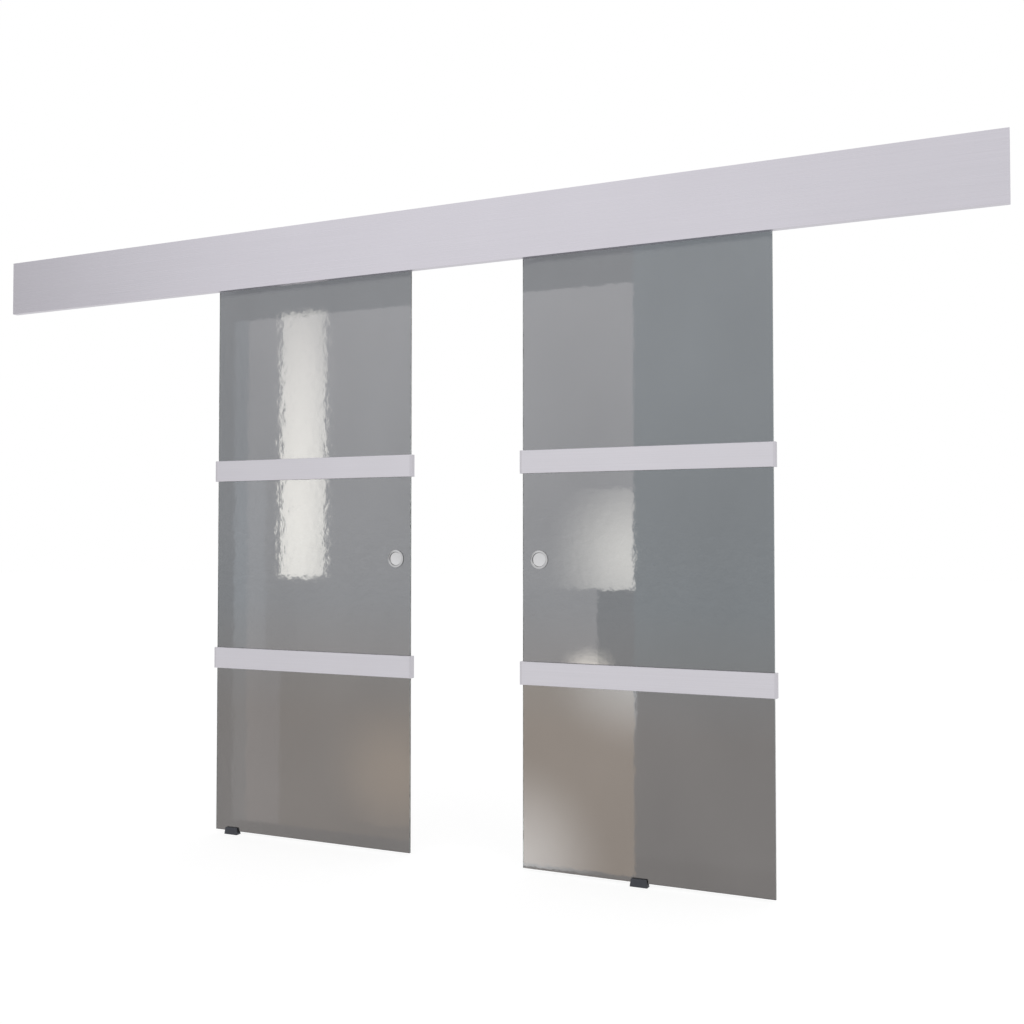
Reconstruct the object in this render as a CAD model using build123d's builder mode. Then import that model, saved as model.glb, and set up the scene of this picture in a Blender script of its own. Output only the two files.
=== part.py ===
"""Double sliding door: two satin-glass leaves that hang from one wall rail behind a long aluminium fascia.

Millimetres. X runs along the wall, -Y comes out of the wall towards the viewer and +Z is up. The origin
is the centre of the rail's back face, which lies on the wall. A depth is a distance out from the wall,
and a height is a distance above the floor.
"""
import os

from build123d import *

# Glass leaves
leaf_width = 820.0
leaf_height = 2050.0
glass_thickness = 8.0
glass_arris = 0.8
floor_gap = 12.0
glass_cover = 58.0

# Where the two leaves stand: each opening is measured from that leaf's shut position
shut_gap = 6.0
left_opening = 24.0
right_opening = 376.0
leaf_travel = 700.0

# Bands across the leaves: a strip on each face and a block at each end
band_height = 76.0
band_thickness = 7.0
band_overhang = 8.0
band_chamfer = 1.0
lower_band_rise = 634.0
upper_band_rise = 1326.0

# Shell pulls, set back to back in one hole through the glass
pull_rise = 1005.0
pull_inset = 58.0
pull_rim_radius = 30.0
pull_rim_thickness = 2.0
pull_cup_radius = 25.5
pull_cup_wall = 1.5
pull_floor = 0.9
pull_hole_gap = 0.3
pull_back_gap = 0.1

# Fascia that covers the rail, and its end caps
fascia_length = 3730.0
fascia_height = 209.0
fascia_wall = 2.5
fascia_reach = 46.0
fascia_lip = 22.0
fascia_wall_gap = 1.0
fascia_hook_drop = 8.0
fascia_hook_gap = 0.5
fascia_rib_drop = 8.0
fascia_edge_radius = 1.0
end_cap_thickness = 3.0
end_cap_chamfer = 1.0
end_cap_rise = 24.0

# Rail: a wall flange with a slotted track below it
rail_wall = 4.0
track_rise = 108.0
track_slot = 18.0
track_head_room = 2.0
track_side_gap = 0.5
arm_lip = 8.0
screw_radius = 3.25
screw_drop = 34.0
screw_end = 162.0
screw_count = 6

# Hangers, two to a leaf: a carriage on two V-wheels, a bolt and a clamp on the glass
carriage_inset = 110.0
carriage_length = 44.0
carriage_width = 18.0
carriage_above = 6.0
carriage_below = 8.0
carriage_chamfer = 2.0
neck_width = 14.0
neck_drop = 6.0
wheel_radius = 11.0
wheel_width = 7.0
wheel_lift = 0.8
wheel_side_gap = 0.5
running_gap = 0.4
axle_radius = 3.0
axle_gap = 0.2
bolt_radius = 4.0
bolt_gap = 0.2
bolt_grip = 12.0
lock_nut_radius = 7.0
lock_nut_height = 7.0
clamp_length = 70.0
clamp_grip = 38.0
clamp_bridge = 18.0
clamp_cheek = 6.0
clamp_chamfer = 1.5

# Stops in the track, each with a rubber buffer
stop_length = 30.0
stop_height = 16.0
stop_side_gap = 1.0
buffer_length = 10.0
buffer_inset = 3.0
buffer_chamfer = 2.0
stop_clearance = 5.0

# Floor guides
guide_inset = 48.0
guide_length = 58.0
guide_depth = 26.0
guide_height = 24.0
guide_taper = 7.0
guide_base = 7.0
guide_gap = 0.4
guide_flare = 1.5
guide_flare_length = 8.0
guide_corner = 2.5
guide_top_chamfer = 1.0
guide_screw_radius = 2.5
guide_screw_spacing = 28.0

# Depths out from the wall
wheel_row = carriage_width / 2 + wheel_side_gap + wheel_width / 2
track_half = wheel_row + wheel_width / 2 + track_side_gap
glass_mid = rail_wall + track_half
glass_back = glass_mid - glass_thickness / 2
glass_front = glass_mid + glass_thickness / 2
fascia_front = glass_front + fascia_reach
fascia_inside = fascia_front - fascia_wall

# Heights above the floor
glass_top = floor_gap + leaf_height
fascia_bottom = glass_top - glass_cover
fascia_top = fascia_bottom + fascia_height
rail_bottom = fascia_bottom + track_rise
rail_top = fascia_top - fascia_wall
ledge_top = rail_bottom + rail_wall
track_rib = wheel_width / 2 + wheel_lift - running_gap
wheel_axis = ledge_top + wheel_lift + wheel_radius
track_ceiling = wheel_axis + wheel_radius + track_head_room
rail_centre = (rail_bottom + rail_top) / 2

# Places along the wall
shut_edge = shut_gap / 2 + band_overhang
guide_position = shut_edge + leaf_width - guide_inset
rail_length = fascia_length - 2 * end_cap_thickness
carriage_shut = shut_edge + carriage_inset - carriage_length / 2
carriage_open = shut_edge + leaf_travel + leaf_width - carriage_inset + carriage_length / 2


def level(height):
    """Z of a height above the floor."""
    return height - rail_centre


def face_plane(depth):
    """Plane parallel to the wall, facing out from it, whose sketch is drawn in X and Z."""
    return Plane.XZ.offset(depth)


def strip(depth_from, depth_to, height_from, height_to):
    """Adds one flat of an extrusion's section, between two depths and two heights."""
    middle = (-(depth_from + depth_to) / 2, level((height_from + height_to) / 2))
    with Locations(middle):
        Rectangle(abs(depth_to - depth_from), abs(height_to - height_from))


def centred(width):
    """The two depths of a strip of this width about the middle of the glass."""
    return glass_mid - width / 2, glass_mid + width / 2


def track_vees(reach, mode):
    """Adds or cuts the two V-shaped ribs under the wheels, each the top of a square set on its corner."""
    rib_side = reach * 2**0.5
    with Locations(*[(-(glass_mid + row * wheel_row), level(ledge_top)) for row in (-1, 1)]):
        Rectangle(rib_side, rib_side, rotation=45, mode=mode)


def save(piece, name):
    """Labels a finished piece and writes it under its own name."""
    piece.part.label = name
    export_step(piece.part, f"parts/{name}.step")


def make_rail():
    """Extruded wall flange, slotted track with running ribs, and the arm that steadies the fascia."""
    arm_top = track_ceiling + rail_wall
    with BuildPart() as rail:
        with BuildSketch(Plane.YZ):
            strip(0, rail_wall, rail_bottom, rail_top)
            strip(0, fascia_inside, track_ceiling, arm_top)
            strip(fascia_inside - rail_wall, fascia_inside, arm_top, arm_top + arm_lip)
            strip(glass_mid + track_half, glass_mid + track_half + rail_wall, rail_bottom, arm_top)
            strip(0, glass_mid - track_slot / 2, rail_bottom, ledge_top)
            strip(glass_mid + track_slot / 2, glass_mid + track_half + rail_wall, rail_bottom, ledge_top)
            track_vees(track_rib, Mode.ADD)
        extrude(amount=rail_length / 2, both=True)
        screw_pitch = (rail_length - 2 * screw_end) / (screw_count - 1)
        with BuildSketch(face_plane(0)):
            with Locations((0, level(rail_top - screw_drop))):
                with GridLocations(screw_pitch, 0, screw_count, 1):
                    Circle(screw_radius)
        extrude(amount=rail_wall, mode=Mode.SUBTRACT)
    save(rail, "rail")


def make_fascia():
    """Extruded cover: tall front, top return that rests on the rail, bottom lip and hooks on the rail."""
    hook_front = rail_wall + fascia_wall
    rib_top = track_ceiling + rail_wall + arm_lip + fascia_hook_gap + fascia_wall
    rib_back = fascia_inside - rail_wall - fascia_hook_gap - fascia_wall
    with BuildPart() as fascia:
        with BuildSketch(Plane.YZ) as section:
            strip(fascia_inside, fascia_front, fascia_bottom, fascia_top)
            strip(fascia_wall_gap, fascia_front, rail_top, fascia_top)
            strip(rail_wall, hook_front, rail_top - fascia_hook_drop, fascia_top)
            strip(fascia_front - fascia_lip, fascia_front, fascia_bottom, fascia_bottom + fascia_wall)
            strip(rib_back, fascia_front, rib_top - fascia_wall, rib_top)
            strip(rib_back, rib_back + fascia_wall, rib_top - fascia_rib_drop, rib_top)
            fillet(section.vertices().group_by(Axis.X)[0], fascia_edge_radius)
        extrude(amount=rail_length / 2, both=True)
    save(fascia, "fascia")


def make_end_caps():
    """Flat plates that close the two ends of the rail and fascia; they rise behind the lip, towards the wall."""
    for name, side in (("left", -1), ("right", 1)):
        with BuildPart() as cap:
            with BuildSketch(Plane.YZ.offset(side * rail_length / 2)):
                with BuildLine():
                    Polyline(
                        (-fascia_front, level(fascia_bottom)),
                        (-fascia_front, level(fascia_top)),
                        (-fascia_wall_gap, level(fascia_top)),
                        (-fascia_wall_gap, level(fascia_bottom + end_cap_rise)),
                        (fascia_lip - fascia_front, level(fascia_bottom)),
                        close=True,
                    )
                make_face()
            extrude(amount=side * end_cap_thickness)
            chamfer(cap.edges().filter_by(Axis.X), end_cap_chamfer)
        save(cap, f"{name}_fascia_end_cap")


def make_stops():
    """Stop blocks clamped in the track at both ends of each leaf's run, with a buffer on each."""
    stop_width = 2 * (track_half - stop_side_gap)
    end_face = carriage_open + stop_clearance + buffer_length
    centre_face = carriage_shut - stop_clearance - buffer_length
    with BuildPart() as stops:
        for side in (-1, 1):
            for inner_face in (end_face, centre_face - stop_length):
                with BuildSketch(Plane.YZ.offset(side * inner_face)):
                    with Locations((-glass_mid, level(ledge_top + stop_height / 2))):
                        Rectangle(stop_width, stop_height)
                    track_vees(track_rib + running_gap, Mode.SUBTRACT)
                extrude(amount=side * stop_length)
    save(stops, "track_stops")
    with BuildPart() as buffers:
        for side in (-1, 1):
            for inner_face in (end_face - buffer_length, centre_face):
                with BuildSketch(Plane.YZ.offset(side * inner_face)):
                    with Locations((-glass_mid, level(ledge_top + stop_height / 2))):
                        Rectangle(stop_width - 2 * buffer_inset, stop_height - 2 * buffer_inset)
                extrude(amount=side * buffer_length)
        chamfer(buffers.edges().filter_by(Axis.X), buffer_chamfer)
    save(buffers, "stop_buffers")


def make_guides():
    """Moulded, tapered guides screwed to the floor, with a flared slot that the glass slides through."""
    slot_half = glass_thickness / 2 + guide_gap
    flare_half = slot_half + guide_flare
    straight_half = guide_length / 2 - guide_flare_length
    for name, side in (("left", -1), ("right", 1)):
        foot = Plane(origin=(side * guide_position, -glass_mid, level(0)))
        with BuildPart() as guide:
            with BuildSketch(foot):
                Rectangle(guide_length, guide_depth)
            extrude(amount=guide_height, taper=guide_taper)
            chamfer(guide.edges().group_by(Axis.Z)[1], guide_corner)
            chamfer(guide.faces().sort_by(Axis.Z)[-1].edges(), guide_top_chamfer)
            with BuildSketch(foot.offset(guide_base)):
                with BuildLine():
                    Polyline(
                        (0, slot_half),
                        (straight_half, slot_half),
                        (guide_length / 2, flare_half),
                        (guide_length / 2, 0),
                    )
                    mirror(about=Plane.XZ)
                    mirror(about=Plane.YZ)
                make_face()
            extrude(amount=guide_height, mode=Mode.SUBTRACT)
            with Locations(foot.offset(guide_base)):
                with GridLocations(guide_screw_spacing, 0, 2, 1):
                    Hole(guide_screw_radius, depth=guide_base)
        save(guide, f"{name}_floor_guide")


def make_glass(leaf, middle, pull_x):
    """Toughened pane with arrissed edges and one round hole for the pulls."""
    with BuildPart() as glass:
        with BuildSketch(face_plane(glass_back)):
            with Locations((middle, level(floor_gap + leaf_height / 2))):
                Rectangle(leaf_width, leaf_height)
        extrude(amount=glass_thickness)
        chamfer(glass.edges(), glass_arris)
        with BuildSketch(face_plane(glass_back)):
            with Locations((pull_x, level(floor_gap + pull_rise))):
                Circle(pull_cup_radius + pull_hole_gap)
        extrude(amount=glass_thickness, mode=Mode.SUBTRACT)
    save(glass, f"{leaf}_glass")


def make_band(leaf, band, middle, rise):
    """One band: strips bonded to the front and back of the glass, and the blocks that join their ends."""
    height = level(floor_gap + rise)
    for face, inner_depth, way in (("front", glass_front, 1), ("back", glass_back, -1)):
        with BuildPart() as band_strip:
            with BuildSketch(face_plane(inner_depth)):
                with Locations((middle, height)):
                    Rectangle(leaf_width, band_height)
            extrude(amount=way * band_thickness)
            outer_face = band_strip.faces().sort_by(Axis.Y)[0 if way > 0 else -1]
            chamfer(outer_face.edges().filter_by(Axis.X), band_chamfer)
        save(band_strip, f"{leaf}_{band}_band_{face}")
    with BuildPart() as ends:
        for side in (-1, 1):
            with BuildSketch(Plane.YZ.offset(middle + side * leaf_width / 2)):
                with Locations((-glass_mid, height)):
                    Rectangle(glass_thickness + 2 * band_thickness, band_height)
            extrude(amount=side * band_overhang)
        outer_faces = ends.faces().group_by(Axis.X)
        chamfer(outer_faces[0].edges() + outer_faces[-1].edges(), band_chamfer)
    save(ends, f"{leaf}_{band}_band_ends")


def make_pulls(leaf, pull_x):
    """Turned shell pulls: a flat rim on each face of the glass round a shallow cup."""
    cup_depth = glass_thickness / 2 - pull_back_gap
    for face, depth, way in (("front", glass_front, 1), ("back", glass_back, -1)):
        centre = (pull_x, -depth, level(floor_gap + pull_rise))
        with BuildPart() as pull:
            with BuildSketch(Plane(origin=centre, x_dir=(1, 0, 0), z_dir=(0, 0, 1))):
                with BuildLine():
                    Polyline(
                        (0, way * cup_depth),
                        (pull_cup_radius, way * cup_depth),
                        (pull_cup_radius, 0),
                        (pull_rim_radius, 0),
                        (pull_rim_radius, -way * pull_rim_thickness),
                        (pull_cup_radius - pull_cup_wall, -way * pull_rim_thickness),
                        (pull_cup_radius - pull_cup_wall, way * (cup_depth - pull_floor)),
                        (0, way * (cup_depth - pull_floor)),
                        close=True,
                    )
                make_face()
            revolve(axis=Axis(centre, (0, 1, 0)))
        save(pull, f"{leaf}_pull_{face}")


def make_hangers(leaf, places):
    """The leaf's two hangers: wheels on the ribs, carriages through the slot, bolts and glass clamps."""
    neck_bottom = rail_bottom - neck_drop
    clamp_top = glass_top + clamp_bridge

    with BuildPart() as carriages:
        for x in places:
            with BuildSketch(Plane.YZ.offset(x)):
                strip(*centred(carriage_width), wheel_axis - carriage_below, wheel_axis + carriage_above)
                strip(*centred(neck_width), neck_bottom, wheel_axis)
            extrude(amount=carriage_length / 2, both=True)
        chamfer(carriages.edges().group_by(Axis.Z)[-1], carriage_chamfer)
        with BuildSketch(face_plane(glass_mid - carriage_width / 2)):
            with Locations(*[(x, level(wheel_axis)) for x in places]):
                Circle(axle_radius + axle_gap)
        extrude(amount=carriage_width, mode=Mode.SUBTRACT)
        with BuildSketch(Plane.XY.offset(level(neck_bottom))):
            with Locations(*[(x, -glass_mid) for x in places]):
                Circle(bolt_radius + bolt_gap)
        extrude(amount=bolt_grip, mode=Mode.SUBTRACT)
    save(carriages, f"{leaf}_carriages")

    with BuildPart() as wheels:
        inner = wheel_row - wheel_width / 2
        outer = wheel_row + wheel_width / 2
        for x in places:
            hub = (x, -glass_mid, level(wheel_axis))
            with BuildSketch(Plane(origin=hub, x_dir=(0, 1, 0), z_dir=(1, 0, 0))):
                with BuildLine():
                    Polyline(
                        (0, 0),
                        (outer, 0),
                        (outer, wheel_radius),
                        (wheel_row, wheel_radius - wheel_width / 2),
                        (inner, wheel_radius),
                        (inner, axle_radius),
                        (0, axle_radius),
                    )
                    mirror(about=Plane.YZ)
                make_face()
            revolve(axis=Axis(hub, (0, 1, 0)))
    save(wheels, f"{leaf}_wheels")

    with BuildPart() as bolts:
        with BuildSketch(Plane.XY.offset(level(clamp_top - bolt_grip))):
            with Locations(*[(x, -glass_mid) for x in places]):
                Circle(bolt_radius)
        extrude(amount=neck_bottom - clamp_top + 2 * bolt_grip)
        with BuildSketch(Plane.XY.offset(level(neck_bottom - lock_nut_height))):
            with Locations(*[(x, -glass_mid) for x in places]):
                RegularPolygon(lock_nut_radius, 6)
        extrude(amount=lock_nut_height)
    save(bolts, f"{leaf}_hanging_bolts")

    with BuildPart() as clamps:
        for x in places:
            with BuildSketch(Plane.YZ.offset(x)):
                strip(glass_back - clamp_cheek, glass_front + clamp_cheek, glass_top, clamp_top)
                strip(glass_back - clamp_cheek, glass_back, glass_top - clamp_grip, clamp_top)
                strip(glass_front, glass_front + clamp_cheek, glass_top - clamp_grip, clamp_top)
            extrude(amount=clamp_length / 2, both=True)
        chamfer(clamps.faces().group_by(Axis.Z)[-1].edges(), clamp_chamfer)
        with Locations(*[(x, -glass_mid, level(clamp_top)) for x in places]):
            Hole(bolt_radius + bolt_gap, depth=bolt_grip)
    save(clamps, f"{leaf}_clamps")


def make_leaf(leaf, side, opening):
    """One hung leaf with its bands, pulls and two hangers; side is -1 on the left and +1 on the right."""
    inner_edge = side * (shut_edge + opening)
    middle = inner_edge + side * leaf_width / 2
    pull_x = inner_edge + side * pull_inset
    make_glass(leaf, middle, pull_x)
    make_band(leaf, "lower", middle, lower_band_rise)
    make_band(leaf, "upper", middle, upper_band_rise)
    make_pulls(leaf, pull_x)
    hanger_insets = (carriage_inset, leaf_width - carriage_inset)
    make_hangers(leaf, [inner_edge + side * inset for inset in hanger_insets])


os.makedirs("parts", exist_ok=True)
make_rail()
make_fascia()
make_end_caps()
make_stops()
make_guides()
make_leaf("left", -1, left_opening)
make_leaf("right", 1, right_opening)
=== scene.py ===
import math

import bmesh
import bpy
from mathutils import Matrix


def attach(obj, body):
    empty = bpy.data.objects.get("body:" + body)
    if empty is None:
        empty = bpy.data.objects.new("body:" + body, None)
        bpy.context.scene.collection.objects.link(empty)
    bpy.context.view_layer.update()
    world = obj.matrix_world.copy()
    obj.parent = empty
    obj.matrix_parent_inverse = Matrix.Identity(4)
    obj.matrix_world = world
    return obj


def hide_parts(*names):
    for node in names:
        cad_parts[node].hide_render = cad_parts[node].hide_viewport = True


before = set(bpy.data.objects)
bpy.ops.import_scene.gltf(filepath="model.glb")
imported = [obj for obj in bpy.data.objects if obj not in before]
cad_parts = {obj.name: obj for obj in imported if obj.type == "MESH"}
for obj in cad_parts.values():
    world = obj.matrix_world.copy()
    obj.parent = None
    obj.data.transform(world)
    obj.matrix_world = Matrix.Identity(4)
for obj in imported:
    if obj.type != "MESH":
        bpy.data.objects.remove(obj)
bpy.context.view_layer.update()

# Wall rail: one mill-finish aluminium extrusion, 3.7 m long, with the slotted track below its wall flange.
# The die leaves fine lines along its length. Six zinc-plated screws through the flange hold it to the wall.
rail_colour = (0.47, 0.47, 0.48)
flange_front, wall_screw_height = -0.004, 0.01525
wall_screw_places = [(x, flange_front, wall_screw_height) for x in (-1.7, -1.02, -0.34, 0.34, 1.02, 1.7)]


class Tone:
    """A value or colour over a surface; arithmetic on it adds the Math nodes that work it out."""

    def __init__(self, tree, socket=None):
        self.tree = tree
        self.socket = socket

    def node(self, kind, settings=(), sockets=(), out=0):
        """Adds one node: its settings first, then the numbers or tones on its sockets."""
        made = self.tree.nodes.new(kind)
        for name, value in dict(settings).items():
            if name == "stops":
                ramp = made.color_ramp
                while len(ramp.elements) < len(value):
                    ramp.elements.new(0.5)
                for stop, (position, colour) in zip(ramp.elements, value):
                    stop.position = position
                    stop.color = (*colour, 1)
            else:
                setattr(made, name, value)
        for key, value in dict(sockets).items():
            if isinstance(value, Tone):
                self.tree.links.new(value.socket, made.inputs[key])
            elif isinstance(value, tuple) and len(value) == 3 and made.inputs[key].type == "RGBA":
                made.inputs[key].default_value = (*value, 1)
            else:
                made.inputs[key].default_value = value
        return Tone(self.tree, made.outputs[out] if made.outputs else None)

    def maths(self, operation, first, second=0.0):
        return self.node("ShaderNodeMath", {"operation": operation}, {0: first, 1: second})

    def __add__(self, other):
        return self.maths("ADD", self, other)

    def __sub__(self, other):
        return self.maths("SUBTRACT", self, other)

    def __rsub__(self, other):
        return self.maths("SUBTRACT", other, self)

    def __mul__(self, other):
        return self.maths("MULTIPLY", self, other)

    def __gt__(self, other):
        return self.maths("GREATER_THAN", self, other)

    def __abs__(self):
        return self.maths("ABSOLUTE", self)

    __radd__ = __add__
    __rmul__ = __mul__

    def noise(self, scale, detail=3.0, stretch=(1, 1, 1), roughness=0.5):
        """A soft random pattern, stretched along the axes whose factor is small."""
        spread = self.node("ShaderNodeMapping", {}, {"Vector": self, "Scale": stretch})
        return self.node("ShaderNodeTexNoise", {}, {"Vector": spread, "Scale": scale, "Detail": detail,
                                                    "Roughness": roughness})

    def clear(self):
        """A soft random pattern drawn out, so that it reaches 0 and 1."""
        return self.node("ShaderNodeMapRange", {}, {"Value": self, "From Min": 0.3, "From Max": 0.7})

    def between(self, low, high):
        """A colour from low, where this is 0, to high, where it is 1."""
        return self.node("ShaderNodeMix", {"data_type": "RGBA"}, {0: self, 6: low, 7: high}, out=2)

    def bump(self, strength, height):
        """The surface's normal with this pattern raised to a height in metres."""
        return self.node("ShaderNodeBump", {}, {"Strength": strength, "Distance": height, "Height": self})


def shaded(colour, factor):
    """A colour made lighter or darker."""
    return tuple(channel * factor for channel in colour)


def new_finish(name):
    """A new material with an empty tree, and the place on the piece to start its patterns from."""
    finish = bpy.data.materials.new(name)
    finish.use_nodes = True
    finish.node_tree.nodes.clear()
    return finish, Tone(finish.node_tree).node("ShaderNodeTexCoord", out="Object")


def close_finish(place, **sockets):
    """Ends a material with its shader; an underscore in a name stands for a space."""
    named = {key.replace("_", " "): value for key, value in sockets.items()}
    shader = place.node("ShaderNodeBsdfPrincipled", {}, named)
    place.node("ShaderNodeOutputMaterial", {}, {"Surface": shader})


def extruded_aluminium(name, colour, line_contrast, roughness):
    """Aluminium drawn through a die: fine lines along X, faint clouds and a satin sheen."""
    finish, place = new_finish(name)
    lines = place.noise(60, detail=4, stretch=(0.02, 15, 15), roughness=0.6).clear()
    streaks = place.noise(60, detail=4, stretch=(0.02, 3, 3), roughness=0.6)
    clouds = place.noise(5)
    tone = lines * 0.45 + streaks * 0.3 + clouds * 0.25
    close_finish(
        place,
        Base_Color=tone.between(shaded(colour, 1 - line_contrast), shaded(colour, 1 + line_contrast)),
        Metallic=1.0,
        Roughness=roughness - 0.07 + lines * 0.14,
        Normal=lines.bump(strength=0.2, height=0.00012),
    )
    return finish


def dress(finish, *names):
    """Gives CAD nodes their finish."""
    for name in names:
        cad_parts[name].material_slots[0].material = finish


def edit(piece):
    """Opens a piece for modelling, with nothing in it selected."""
    bpy.ops.object.select_all(action="DESELECT")
    piece.select_set(True)
    bpy.context.view_layer.objects.active = piece
    bpy.ops.object.mode_set(mode="EDIT")
    bpy.ops.mesh.select_all(action="DESELECT")


def pick(piece, kind, test):
    """Selects the faces or edges of the open piece whose corners all pass a test of their place."""
    mesh = bmesh.from_edit_mesh(piece.data)
    bpy.ops.mesh.select_mode(type=kind)
    bpy.ops.mesh.select_all(action="DESELECT")
    for part in mesh.faces if kind == "FACE" else mesh.edges:
        part.select_set(all(test(corner.co) for corner in part.verts))
    bmesh.update_edit_mesh(piece.data)


def settle(piece, name):
    """Ends the modelling of a piece: place and turn go into its mesh, and smooth faces are shaded so."""
    crease = math.radians(35)
    if piece.mode == "EDIT":
        bpy.ops.object.mode_set(mode="OBJECT")
    bpy.ops.object.select_all(action="DESELECT")
    piece.select_set(True)
    bpy.context.view_layer.objects.active = piece
    bpy.ops.object.transform_apply(location=True, rotation=True, scale=True)
    bpy.ops.object.shade_smooth_by_angle(angle=crease)
    piece.name = name
    piece.data.name = name
    return piece


def model_screw(head_radius, head_height, key_radius, shank_radius, shank_length):
    """One socket screw at the origin: its head stands towards -Y and its shank runs along +Y."""
    near = head_height * 0.01
    round_over = head_height * 0.35
    socket_depth = head_height * 0.6
    bpy.ops.object.select_all(action="DESELECT")
    bpy.ops.mesh.primitive_cylinder_add(vertices=40, radius=head_radius, depth=head_height,
                                        location=(0, -head_height / 2, 0), rotation=(math.pi / 2, 0, 0))
    screw = settle(bpy.context.object, "screw")
    edit(screw)
    pick(screw, "EDGE", lambda corner: corner.y < near - head_height)
    bpy.ops.mesh.bevel(offset=round_over, segments=4, affect="EDGES")
    pick(screw, "FACE", lambda corner: corner.y > -near)
    bpy.ops.mesh.inset(thickness=head_radius - shank_radius)
    bpy.ops.mesh.extrude_region_move(TRANSFORM_OT_translate={"value": (0, shank_length, 0)})
    bpy.ops.object.mode_set(mode="OBJECT")
    bpy.ops.object.select_all(action="DESELECT")
    bpy.ops.mesh.primitive_cylinder_add(vertices=6, radius=key_radius, depth=head_height,
                                        location=(0, socket_depth - head_height * 1.5, 0),
                                        rotation=(math.pi / 2, 0, 0))
    key = bpy.context.object
    cut = screw.modifiers.new("socket", "BOOLEAN")
    cut.operation = "DIFFERENCE"
    cut.object = key
    cut.solver = "EXACT"
    bpy.context.view_layer.objects.active = screw
    bpy.ops.object.modifier_apply(modifier=cut.name)
    bpy.data.objects.remove(key)
    return screw


def set_out(piece, name, places, turn=(0, 0, 0)):
    """Copies a modelled piece to all its places, joins the copies and removes the pattern."""
    copies = []
    for place in places:
        bpy.ops.object.select_all(action="DESELECT")
        piece.select_set(True)
        bpy.context.view_layer.objects.active = piece
        bpy.ops.object.duplicate()
        copy = bpy.context.object
        copy.rotation_euler = turn
        copy.location = place
        copies.append(copy)
    bpy.ops.object.select_all(action="DESELECT")
    for copy in copies:
        copy.select_set(True)
    bpy.context.view_layer.objects.active = copies[0]
    bpy.ops.object.transform_apply(location=True, rotation=True, scale=True)
    if len(copies) > 1:
        bpy.ops.object.join()
    bpy.data.objects.remove(piece)
    return settle(bpy.context.object, name)


def zinc_plate(name):
    """Zinc-plated steel: a cool grey with a faint mottle."""
    finish, place = new_finish(name)
    mottle = place.noise(900, detail=4).clear()
    close_finish(
        place,
        Base_Color=mottle.between((0.40, 0.40, 0.38), (0.56, 0.56, 0.55)),
        Metallic=1.0,
        Roughness=0.26 + mottle * 0.16,
        Normal=mottle.bump(strength=0.2, height=0.0001),
    )
    return finish


dress(extruded_aluminium("mill_finish_rail", rail_colour, line_contrast=0.18, roughness=0.40), "rail")
zinc = zinc_plate("zinc_plated_screws")
wall_screw = model_screw(head_radius=0.006, head_height=0.0036, key_radius=0.0023, shank_radius=0.003,
                         shank_length=0.004)
wall_screws = set_out(wall_screw, "rail_wall_screws", wall_screw_places)
wall_screws.data.materials.append(zinc)
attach(wall_screws, "track")

# Track stops: blasted alloy blocks over the running ribs, each with a black rubber buffer bonded on.
# A socket screw from below, in the slot, jams each block in the track.
track_middle, stop_underside = -0.021, -0.04525
stop_screw_places = [(x, track_middle, stop_underside) for x in (-1.473, -0.069, 0.069, 1.473)]


def blasted_alloy(name):
    """Cast or milled alloy, bead blasted: a dull grey with a fine even grain."""
    finish, place = new_finish(name)
    grain = place.noise(1500).clear()
    patches = place.noise(40).clear()
    close_finish(
        place,
        Base_Color=(grain * 0.5 + patches * 0.5).between((0.34, 0.34, 0.35), (0.58, 0.58, 0.59)),
        Metallic=1.0,
        Roughness=0.44 + grain * 0.16,
        Normal=grain.bump(strength=0.35, height=0.0002),
    )
    return finish


def black_rubber(name):
    """Black moulded rubber with a dusty, slightly greyer bloom."""
    finish, place = new_finish(name)
    bloom = place.noise(300, detail=4).clear()
    close_finish(
        place,
        Base_Color=bloom.between((0.016, 0.016, 0.017), (0.045, 0.044, 0.043)),
        Roughness=0.62 + bloom * 0.2,
        Normal=bloom.bump(strength=0.25, height=0.0002),
    )
    return finish


alloy = blasted_alloy("blasted_hanger_alloy")
dress(alloy, "track_stops")
dress(black_rubber("buffer_rubber"), "stop_buffers")
stop_screw = model_screw(head_radius=0.0045, head_height=0.0035, key_radius=0.002, shank_radius=0.0025,
                         shank_length=0.003)
stop_screws = set_out(stop_screw, "track_stop_screws", stop_screw_places, turn=(math.pi / 2, 0, 0))
stop_screws.data.materials.append(zinc)
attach(stop_screws, "track")

# Fascia: a single satin-anodised aluminium extrusion that hooks on the rail, with flat end caps.
# The anodising has a cool, faintly violet grey, and the die lines run along the length.
fascia_colour = (0.680, 0.659, 0.715)
dress(extruded_aluminium("satin_anodised_fascia", fascia_colour, line_contrast=0.075, roughness=0.31),
      "fascia", "left_fascia_end_cap", "right_fascia_end_cap")

# Floor guides: slate-grey moulded plastic with a fine spark-eroded grain, screwed to the floor through
# the base of the slot that the glass runs in.
guide_colour = (0.066, 0.070, 0.086)
guide_slot_floor = -2.15425
guide_screw_places = [(x, track_middle, guide_slot_floor) for x in (-0.797, -0.769, 0.769, 0.797)]


def moulded_plastic(name, colour):
    """Moulded plastic: a fine grain all over and slight streaks from the flow in the mould."""
    finish, place = new_finish(name)
    grain = place.noise(1400, detail=2).clear()
    flow = place.noise(90, stretch=(1, 1, 0.4))
    close_finish(
        place,
        Base_Color=(grain * 0.35 + flow * 0.65).between(shaded(colour, 0.72), shaded(colour, 1.3)),
        Roughness=0.40 + grain * 0.2,
        Normal=grain.bump(strength=0.4, height=0.0003),
    )
    return finish


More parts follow.
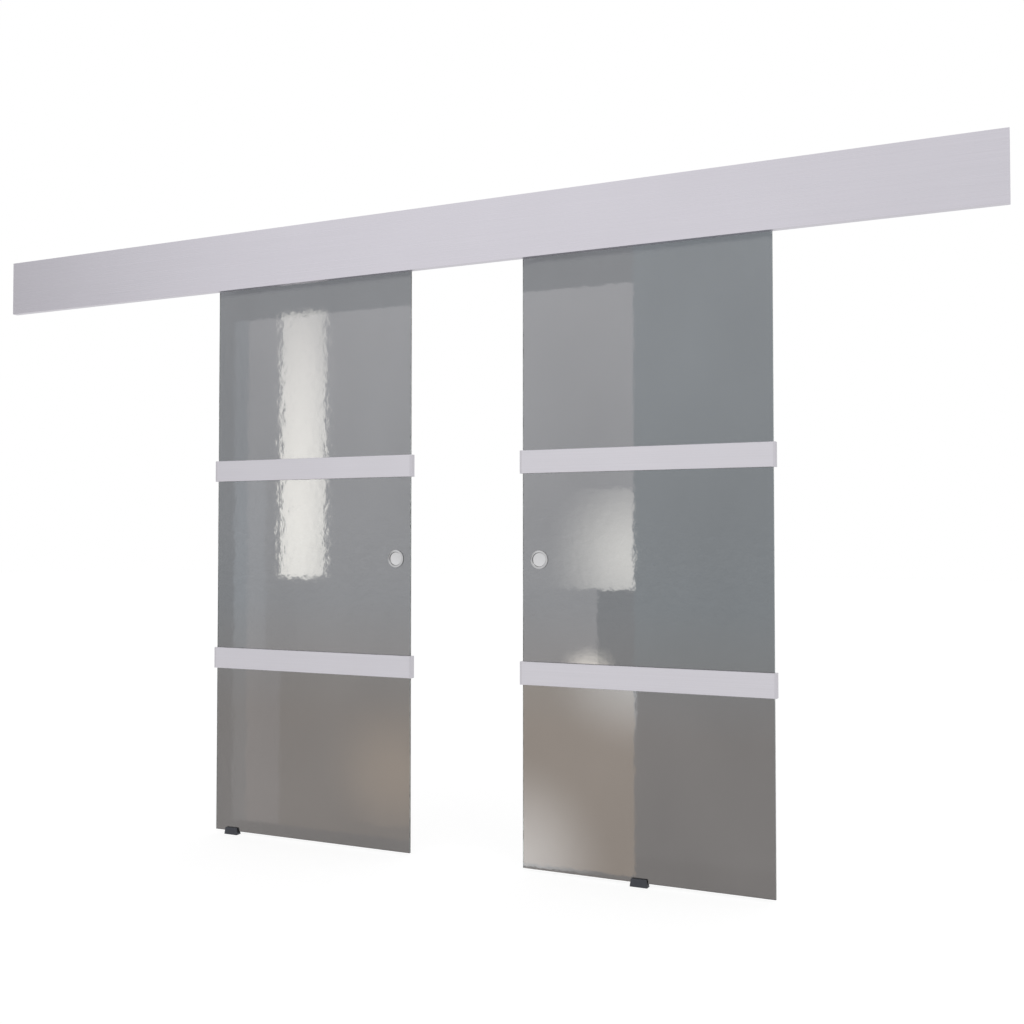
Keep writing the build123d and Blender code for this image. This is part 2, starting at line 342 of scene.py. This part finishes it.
dress(moulded_plastic("slate_guide_plastic", guide_colour), "left_floor_guide", "right_floor_guide")
guide_screw = model_screw(head_radius=0.0040, head_height=0.0020, key_radius=0.0016, shank_radius=0.0022,
                          shank_length=0.006)
guide_screws = set_out(guide_screw, "floor_guide_screws", guide_screw_places, turn=(-math.pi / 2, 0, 0))
guide_screws.data.materials.append(zinc)
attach(guide_screws, "track")

# Glass leaves: 8 mm grey-tinted toughened panes with a satin, slightly rippled face and ground edges.
# The grey has soft random clouds, and painted light makes it paler and cooler above, darker and warmer
# below.
leaf_foot, leaf_head = -2.15, -0.1
foot_tint_with_painted_light, middle_tint_with_painted_light, head_tint_with_painted_light = (0.158, 0.148, 0.143), (0.160, 0.168, 0.178), (0.199, 0.206, 0.219)
ground_edge, ground_colour = 0.0009, (0.30, 0.34, 0.34)


def satin_glass(name, left, right):
    """Grey glass between two X: clouds and painted light by height, faces rippled, paler ground edges."""
    finish, place = new_finish(name)
    x_place = place.node("ShaderNodeSeparateXYZ", {}, {"Vector": place}, out="X")
    z_place = place.node("ShaderNodeSeparateXYZ", {}, {"Vector": place}, out="Z")
    clouds = place.noise(2.2, detail=4, stretch=(1, 1, 0.6))
    rise = place.node("ShaderNodeMapRange", {}, {"Value": z_place, "From Min": leaf_foot,
                                                 "From Max": leaf_head})
    # Painted light by height: darker and warmer at the foot, paler and cooler at the head.
    stops = [(0.22, foot_tint_with_painted_light), (0.42, middle_tint_with_painted_light), (0.92, head_tint_with_painted_light)]
    tint_with_painted_light = rise.node("ShaderNodeValToRGB", {"stops": stops}, {"Fac": rise})
    clouded_glass_with_painted_light = tint_with_painted_light.node("ShaderNodeMix", {"data_type": "RGBA", "blend_type": "MULTIPLY"},
                       {0: 1.0, 6: tint_with_painted_light, 7: 0.85 + clouds * 0.30}, out=2)
    edge = abs(x_place - (left + right) / 2) > (right - left) / 2 - ground_edge
    ripple = place.noise(38, stretch=(1, 15, 0.8))
    frost = place.noise(900, detail=2)
    close_finish(
        place,
        Base_Color=edge.between(clouded_glass_with_painted_light, ground_colour),
        Roughness=0.13 + frost * 0.06,
        IOR=1.5,
        Transmission_Weight=1.0,
        Coat_Weight=0.4,
        Coat_Roughness=0.12,
        Normal=ripple.bump(strength=0.8, height=0.004),
    )
    return finish


dress(satin_glass("left_satin_glass", left=-0.855, right=-0.035), "left_glass")
dress(satin_glass("right_satin_glass", left=0.387, right=1.207), "right_glass")

# Bands: satin-anodised aluminium strips bonded to both faces of each leaf, with blocks that cap their ends.
# They share the fascia's anodising, a little paler and duller; the blocks are a shade darker.
band_colour = (0.715, 0.697, 0.744)
band_names = [f"{leaf}_{band}_band" for leaf in ("left", "right") for band in ("upper", "lower")]
dress(extruded_aluminium("satin_anodised_bands", band_colour, line_contrast=0.085, roughness=0.38),
      *[f"{name}_{side}" for name in band_names for side in ("front", "back")])
block_colour = shaded(band_colour, 0.93)
dress(extruded_aluminium("satin_anodised_band_ends", block_colour, line_contrast=0.085, roughness=0.42),
      *[f"{name}_ends" for name in band_names])

# Shell pulls: turned stainless cups set in a hole in each leaf, one from each face.
# The rim is rounded over and the cup's floor runs into its wall in a small curve.
pull_height = -1.14425
pull_places = {"left": -0.093, "right": 0.445}
glass_middle = track_middle
cup_radius, flange_radius, mouth_radius = 0.0255, 0.030, 0.024
cup_depth, cup_taper = 0.005, 0.94


def turned_steel(name, centre_x):
    """Turned satin stainless, fine rings about the pull's middle, painted shade on rim and inner corner."""
    corner_radius, corner_heart, corner_reach, rim_blur = 0.0230, 0.0004, 0.0012, 0.0004
    finish, place = new_finish(name)
    from_middle = place.node("ShaderNodeMapping", {}, {"Vector": place, "Scale": (1, 0, 1),
                                                       "Location": (-centre_x, 0, -pull_height)})
    reach = place.node("ShaderNodeVectorMath", {"operation": "LENGTH"}, {0: from_middle}, out="Value")
    rings = reach.node("ShaderNodeTexNoise", {"noise_dimensions": "1D"},
                       {"W": reach, "Scale": 1500.0, "Detail": 3.0})
    smears = place.noise(160)
    bright = (rings * 0.5 + smears * 0.5).between((0.63, 0.63, 0.64), (0.79, 0.79, 0.80))
    # Painted shade: the rim and flange outside the cup's mouth are a flat, darker grey.
    painted_rim_shade = bright.node("ShaderNodeMapRange", {}, {"Value": reach, "From Min": mouth_radius - rim_blur,
                                                    "From Max": mouth_radius + rim_blur})
    # Painted shade: a dark ring where the cup's floor meets its wall.
    painted_corner_shade = bright.node("ShaderNodeMapRange", {}, {"Value": abs(reach - corner_radius), "To Min": 1.0,
                                                       "To Max": 0.0, "From Min": corner_heart,
                                                       "From Max": corner_reach})
    close_finish(
        place,
        Base_Color=painted_corner_shade.between(painted_rim_shade.between(bright, (0.60, 0.60, 0.61)), (0.20, 0.20, 0.20)),
        Metallic=1.0,
        Roughness=0.24 + rings * 0.14,
        Normal=rings.bump(strength=0.2, height=0.0001),
    )
    return finish


def shell_pull(name, centre_x):
    """One front pull: a disc drawn up into a cup, a flange, a rim and a sunk floor, with rounded edges."""
    back, face, shoulder, rim = -0.0211, -0.025, -0.0254, -0.027
    bpy.ops.object.select_all(action="DESELECT")
    bpy.ops.mesh.primitive_circle_add(vertices=96, radius=cup_radius, fill_type="NGON",
                                      location=(centre_x, back, pull_height), rotation=(math.pi / 2, 0, 0))
    pull = settle(bpy.context.object, name)
    edit(pull)
    bpy.ops.mesh.select_all(action="SELECT")
    middle = (centre_x, face, pull_height)
    bpy.ops.mesh.extrude_region_move(TRANSFORM_OT_translate={"value": (0, face - back, 0)})
    bpy.ops.mesh.extrude_region_move(TRANSFORM_OT_translate={"value": (0, 0, 0)})
    flare = flange_radius / cup_radius
    bpy.ops.transform.resize(value=(flare, 1, flare), center_override=middle)
    bpy.ops.mesh.extrude_region_move(TRANSFORM_OT_translate={"value": (0, shoulder - face, 0)})
    bpy.ops.mesh.inset(thickness=flange_radius - mouth_radius, depth=shoulder - rim)
    bpy.ops.mesh.extrude_region_move(TRANSFORM_OT_translate={"value": (0, cup_depth, 0)})
    bpy.ops.transform.resize(value=(cup_taper, 1, cup_taper), center_override=middle)

    def ring(radius, depth, near=2e-4):
        return lambda c: (abs(math.hypot(c.x - centre_x, c.z - pull_height) - radius) < near
                          and abs(c.y - depth) < near)

    outer_edge, mouth_edge = (flange_radius, shoulder, 0.0002), (mouth_radius, rim, 0.0006)
    inner_corner = (mouth_radius * cup_taper, rim + cup_depth, 0.0016)
    for radius, depth, round_over in (outer_edge, mouth_edge, inner_corner):
        pick(pull, "EDGE", ring(radius, depth))
        bpy.ops.mesh.bevel(offset=round_over, segments=5, affect="EDGES")
    bpy.ops.mesh.select_all(action="SELECT")
    bpy.ops.mesh.normals_make_consistent(inside=False)
    return settle(pull, name)


for leaf, centre_x in pull_places.items():
    steel = turned_steel(f"{leaf}_turned_steel", centre_x)
    front = shell_pull(f"{leaf}_shell_pull_front", centre_x)
    bpy.ops.object.duplicate()
    back = bpy.context.object
    edit(back)
    bpy.ops.mesh.select_all(action="SELECT")
    bpy.ops.transform.rotate(value=math.pi, orient_axis="Z",
                             center_override=(centre_x, glass_middle, pull_height))
    settle(back, f"{leaf}_shell_pull_back")
    for pull, side in ((front, "front"), (back, "back")):
        pull.data.materials.clear()
        pull.data.materials.append(steel)
        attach(pull, f"{leaf}_leaf")
        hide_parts(f"{leaf}_pull_{side}")

# Hangers: blasted alloy carriages and clamps, natural nylon wheels and zinc-plated bolts with lock nuts.
# Two socket screws in the front cheek of each clamp press the glass against its back cheek.
clamp_middles = {"left": (-0.145, -0.745), "right": (0.497, 1.097)}
clamp_front, clamp_screw_height, clamp_screw_offset = -0.031, -0.119, 0.02


def natural_nylon(name):
    """Natural nylon: milky and slightly waxy, with a faint mottle."""
    finish, place = new_finish(name)
    milk = place.noise(220)
    close_finish(
        place,
        Base_Color=milk.between((0.60, 0.58, 0.53), (0.78, 0.77, 0.73)),
        Roughness=0.34 + milk * 0.16,
        Subsurface_Weight=0.1,
        Normal=milk.bump(strength=0.15, height=0.0002),
    )
    return finish


nylon = natural_nylon("natural_nylon_wheels")
for leaf, middles in clamp_middles.items():
    dress(alloy, f"{leaf}_carriages", f"{leaf}_clamps")
    dress(nylon, f"{leaf}_wheels")
    dress(zinc, f"{leaf}_hanging_bolts")
    clamp_screw = model_screw(head_radius=0.005, head_height=0.004, key_radius=0.0023, shank_radius=0.003,
                              shank_length=0.003)
    clamp_screw_places = [(x + way * clamp_screw_offset, clamp_front, clamp_screw_height)
                          for x in middles for way in (-1, 1)]
    clamp_screws = set_out(clamp_screw, f"{leaf}_clamp_screws", clamp_screw_places)
    clamp_screws.data.materials.append(zinc)
    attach(clamp_screws, f"{leaf}_leaf")

# Studio: a pale floor that keeps the shadow, a white surround, a large soft box and the photograph's camera.
# Plain soft boxes behind the leaves show only through the glass, and give it lighter and darker panels.
floor_level, floor_clearance = -2.16125, 0.0005
floor_glow, mirrored_floor_glow, surround_glow = 0.81, 0.62, 0.70
bpy.ops.object.select_all(action="DESELECT")
bpy.ops.mesh.primitive_plane_add(size=60, location=(0, 0, floor_level - floor_clearance))
floor = settle(bpy.context.object, "studio_floor")
floor_paint, place = new_finish("pale_floor")
direct = place.node("ShaderNodeLightPath", out="Is Camera Ray")
direct = direct.maths("MAXIMUM", direct, place.node("ShaderNodeLightPath", out="Is Transmission Ray"))
mirrored = place.node("ShaderNodeLightPath", out="Is Glossy Ray")
seen = direct.maths("MAXIMUM", direct * floor_glow, mirrored * mirrored_floor_glow)
matt = place.node("ShaderNodeBsdfDiffuse", {}, {"Color": (0.30, 0.30, 0.30)})
glow = place.node("ShaderNodeEmission", {}, {"Color": (1.0, 1.0, 1.0), "Strength": seen})
both = place.node("ShaderNodeAddShader", {}, {0: matt, 1: glow})
place.node("ShaderNodeOutputMaterial", {}, {"Surface": both})
floor.data.materials.append(floor_paint)

world = bpy.data.worlds.new("studio_surround")
bpy.context.scene.world = world
world.use_nodes = True
world.node_tree.nodes.clear()
sky = Tone(world.node_tree)
direct = sky.node("ShaderNodeLightPath", out="Is Camera Ray")
direct = direct.maths("MAXIMUM", direct, sky.node("ShaderNodeLightPath", out="Is Transmission Ray"))
mirrored = sky.node("ShaderNodeLightPath", out="Is Glossy Ray")
way = sky.node("ShaderNodeTexCoord", out="Generated")
leftward = sky.node("ShaderNodeSeparateXYZ", {}, {"Vector": way}, out="X") * -1
dim = sky.node("ShaderNodeValToRGB", {"stops": [(0.0, (0.82, 0.82, 0.82)), (0.15, (0.95, 0.95, 0.95)),
                                                (0.5, (1.0, 1.0, 1.0)), (0.65, (1.0, 1.0, 1.0)),
                                                (0.82, (0.25, 0.25, 0.25))]},
               {"Fac": leftward})
level = direct.maths("MAXIMUM", direct, mirrored * dim)
lit = direct.maths("MAXIMUM", direct, mirrored)
level = level + (1 - lit) * surround_glow
surround = sky.node("ShaderNodeBackground", {}, {"Color": (1.0, 1.0, 1.0), "Strength": level})
sky.node("ShaderNodeOutputWorld", {}, {"Surface": surround})


def soft_lamp(name, middle, aim, size, strength, colour=(1, 1, 1)):
    """A soft box about its middle, facing a point, with the same glow all over."""
    lamp = bpy.data.lights.new(name, "AREA")
    lamp.shape = "RECTANGLE"
    lamp.size, lamp.size_y = size
    lamp.energy = strength * math.pi * size[0] * size[1]
    lamp.color = colour
    stand = bpy.data.objects.new(name, lamp)
    bpy.context.collection.objects.link(stand)
    stand.location = middle
    way = [a - m for a, m in zip(aim, middle)]
    tilt = math.atan2(math.hypot(way[0], way[1]), -way[2])
    turn = math.atan2(way[0], -way[1]) + math.pi
    stand.rotation_euler = (tilt, 0, turn)
    stand.visible_camera = False
    return stand


def light_behind(name, depth, across, heights, strength, colour):
    """A soft box behind a leaf, between two X and two Z, that shows only through the glass."""
    x, z = sum(across) / 2, sum(heights) / 2
    size = (across[1] - across[0], heights[1] - heights[0])
    stand = soft_lamp(name, (x, depth, z), (x, -1, z), size, strength, colour)
    stand.visible_diffuse = False
    stand.visible_glossy = False
    return stand.data


def fade_from(lamp, heart, reach):
    """Makes a soft box fade from its brightest place, which is given in parts of its width and height."""
    lamp.use_nodes = True
    lamp.node_tree.nodes.clear()
    glow = Tone(lamp.node_tree)
    on_lamp = glow.node("ShaderNodeNewGeometry", out="Parametric")
    brightest = (1 - heart[0], heart[1], 0)
    away = glow.node("ShaderNodeVectorMath", {"operation": "DISTANCE"}, {0: on_lamp, 1: brightest},
                     out="Value")
    fading = glow.node("ShaderNodeMapRange", {"interpolation_type": "SMOOTHSTEP"},
                       {"Value": away, "From Min": 0.0, "From Max": reach, "To Min": 1.0, "To Max": 0.0})
    shine = glow.node("ShaderNodeEmission", {}, {"Color": (1.0, 1.0, 1.0), "Strength": fading})
    glow.node("ShaderNodeOutputLight", {}, {"Surface": shine})


soft_lamp("key_soft_box", middle=(4.0, -2.6, 3.2), aim=(0.2, 0, -1.2), size=(2.8, 2.8), strength=2.0)
warm, creamy, golden = (1.0, 0.91, 0.87), (1.0, 0.93, 0.80), (1.0, 0.76, 0.48)
pale, bluish = (0.86, 0.94, 1.0), (0.40, 0.90, 1.0)
light_behind("left_edge_panel", 0.05, (-0.838, -0.776), (-2.127, -0.25), 0.20, pale)
light_behind("left_panel", 0.05, (-0.776, 0.0), (-1.525, -0.25), 0.41, warm)
light_behind("left_middle_side", 0.06, (-0.84, -0.70), (-1.525, -0.83), 0.17, pale)
light_behind("left_panel_below_edge", 0.05, (-0.776, -0.626), (-2.127, -1.525), 0.31, warm)
light_behind("left_panel_below", 0.05, (-0.626, 0.0), (-2.127, -1.525), 0.17, golden)
left_strip = light_behind("left_strip", 0.15, (-0.698, -0.494), (-1.219, -0.212), 3.5, creamy)
fade_from(left_strip, (0.35, 0.1), 1.6)
left_low_glow = light_behind("left_low_glow", 0.10, (-0.54, -0.03), (-2.10, -1.62), 0.55, golden)
fade_from(left_low_glow, (0.75, 0.40), 0.65)
light_behind("right_panel_above", 0.05, (0.30, 0.745), (-0.817, -0.245), 0.47, warm)
light_behind("right_panel_middle", 0.05, (0.30, 0.745), (-1.243, -0.817), 0.54, warm)
light_behind("right_panel_middle_foot", 0.05, (0.30, 0.62), (-1.50, -1.243), 0.49, warm)
light_behind("right_panel_below", 0.05, (0.30, 0.745), (-2.155, -1.525), 0.57, golden)
light_behind("right_side_above", 0.05, (0.745, 1.26), (-1.525, -0.10), 0.095, bluish)
light_behind("right_side_below", 0.05, (0.745, 1.26), (-2.09, -1.525), 0.06, pale)
right_patch = light_behind("right_patch", 0.12, (0.407, 0.722), (-1.243, -0.91), 2.05, creamy)
fade_from(right_patch, (1.0, 0.30), 1.05)
right_foot_glow = light_behind("right_foot_glow", 0.12, (0.47, 0.66), (-1.52, -1.40), 2.3, creamy)
fade_from(right_foot_glow, (0.5, 0.15), 0.62)
right_corner_glow = light_behind("right_corner_glow", 0.04, (0.33, 0.72), (-2.16, -1.75), 2.0, pale)
fade_from(right_corner_glow, (0.0, 0.0), 0.95)
right_low_glow = light_behind("right_low_glow", 0.10, (0.36, 0.736), (-1.83, -1.54), 1.3, pale)
fade_from(right_low_glow, (1.0, 1.0), 0.9)

camera_data = bpy.data.cameras.new("photograph_camera")
camera_data.sensor_width = 36.0
camera_data.lens = 39.854
camera = bpy.data.objects.new("photograph_camera", camera_data)
bpy.context.collection.objects.link(camera)
camera.location = (1.88033, -3.44024, -1.08689)
camera.rotation_euler = (math.radians(91.523), 0, math.radians(24.160))
bpy.context.scene.camera = camera
bpy.context.scene.view_settings.view_transform = "Standard"
